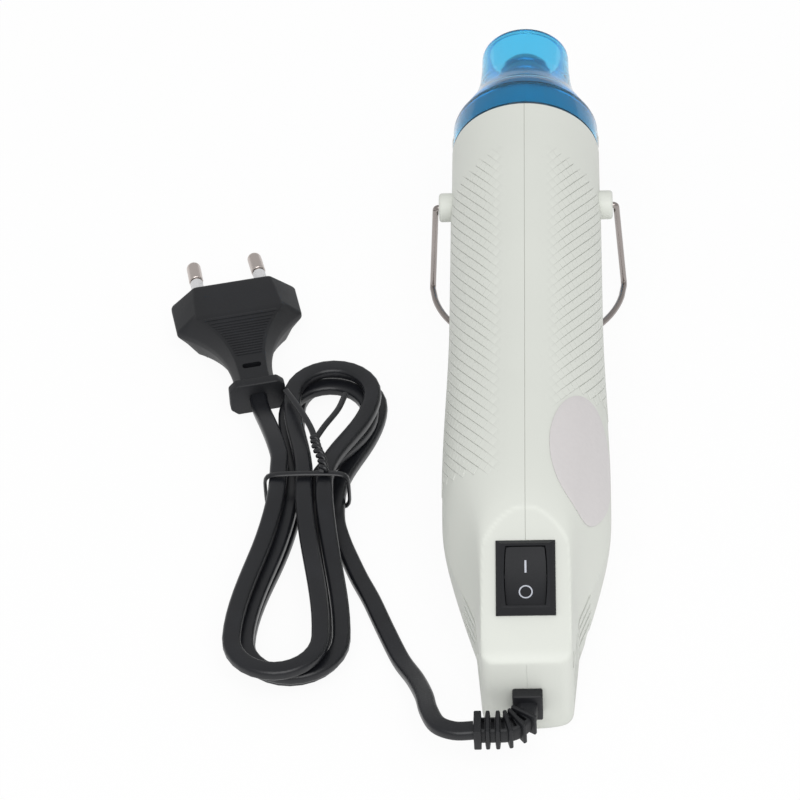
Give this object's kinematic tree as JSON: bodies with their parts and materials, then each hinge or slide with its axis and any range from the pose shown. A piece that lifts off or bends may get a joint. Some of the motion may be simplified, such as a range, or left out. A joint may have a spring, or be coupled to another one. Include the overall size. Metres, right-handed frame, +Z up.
{
  "type": "embossing heat tool",
  "caption": "Slim hand-held hot air tool with a clear nozzle cover, wire bail stand, rocker switch, rear vents, and a tied mains lead with a flat two-pin plug.",
  "frame": {"origin": "middle of the tool's bounding box, without its lead, on the surface it stands on", "axes": "+Z up, +Y towards the nozzle, +X to the side that carries the sticker; the tool stands on its wire bail with the nozzle tilted 4.8 degrees up"},
  "size_m": [0.1279, 0.2403, 0.0568],
  "materials": {
    "shell": "satin, faint grain",
    "cover": "clear blue, polished",
    "steel": "drawn",
    "pin_metal": "bright",
    "mica": "flaky sheet",
    "heating_wire": "oxidised",
    "lead_sleeve": "woven glass sleeve",
    "fan_black": "satin",
    "magnet": "ground",
    "nylon": "satin",
    "brass": "satin",
    "rotor_iron": "varnished",
    "board": "satin",
    "diode_black": "satin",
    "switch_black": "satin",
    "wire_brown": "satin",
    "wire_blue": "satin",
    "cord_black": "matt",
    "sleeve_grey": "satin",
    "label_grey": "foil, satin"
  },
  "bodies": {
    "tool": {"right_housing": "shell", "left_housing": "shell", "nozzle_cover": "cover", "outlet_shield": "steel", "mica_tube": "mica", "mica_cross": "mica", "heating_coil": "heating_wire", "thermal_cutout": "steel", "heater_leads": "lead_sleeve", "motor_can": "steel", "motor_magnets": "magnet", "motor_end_cap": "nylon", "motor_bushes": "brass", "motor_mount": "nylon", "rectifier_board": "board", "rectifier_diodes": "diode_black", "switch_body": "switch_black", "switch_terminals": "brass", "supply_wire": "wire_brown", "return_wire": "wire_blue", "housing_screws": "steel", "cord_clamp": "switch_black", "clamp_screws": "steel", "cord_inner_end": "cord_black", "strain_relief": "cord_black", "label_sticker": "label_grey", "cord_lead": "cord_black", "cord_hank": "cord_black", "cord_tail": "cord_black", "cord_tie": "cord_black", "plug_body": "cord_black", "plug_pins": "pin_metal", "pin_sleeves": "sleeve_grey"},
    "bail": {"bail_stand": "steel"},
    "rocker": {"switch_rocker": "switch_black"},
    "rotor": {"fan_impeller": "fan_black", "motor_rotor": "rotor_iron", "commutator": "brass", "motor_shaft": "steel"}
  },
  "joints": [
    {"name": "bail_hinge", "type": "hinge", "parent": "tool", "child": "bail", "pos_m": [0, 0.05397, 0.03433], "axis": [1, 0, 0], "range_deg": [-20, 99]},
    {"name": "rocker_hinge", "type": "hinge", "parent": "tool", "child": "rocker", "pos_m": [0, -0.09318, 0.03709], "axis": [1, 0, 0], "range_deg": [-18, 0]},
    {"name": "rotor_spin", "type": "hinge", "parent": "tool", "child": "rotor", "pos_m": [0, 0.05397, 0.03433], "axis": [0, 0.9965, 0.0837], "continuous": true}
  ]
}
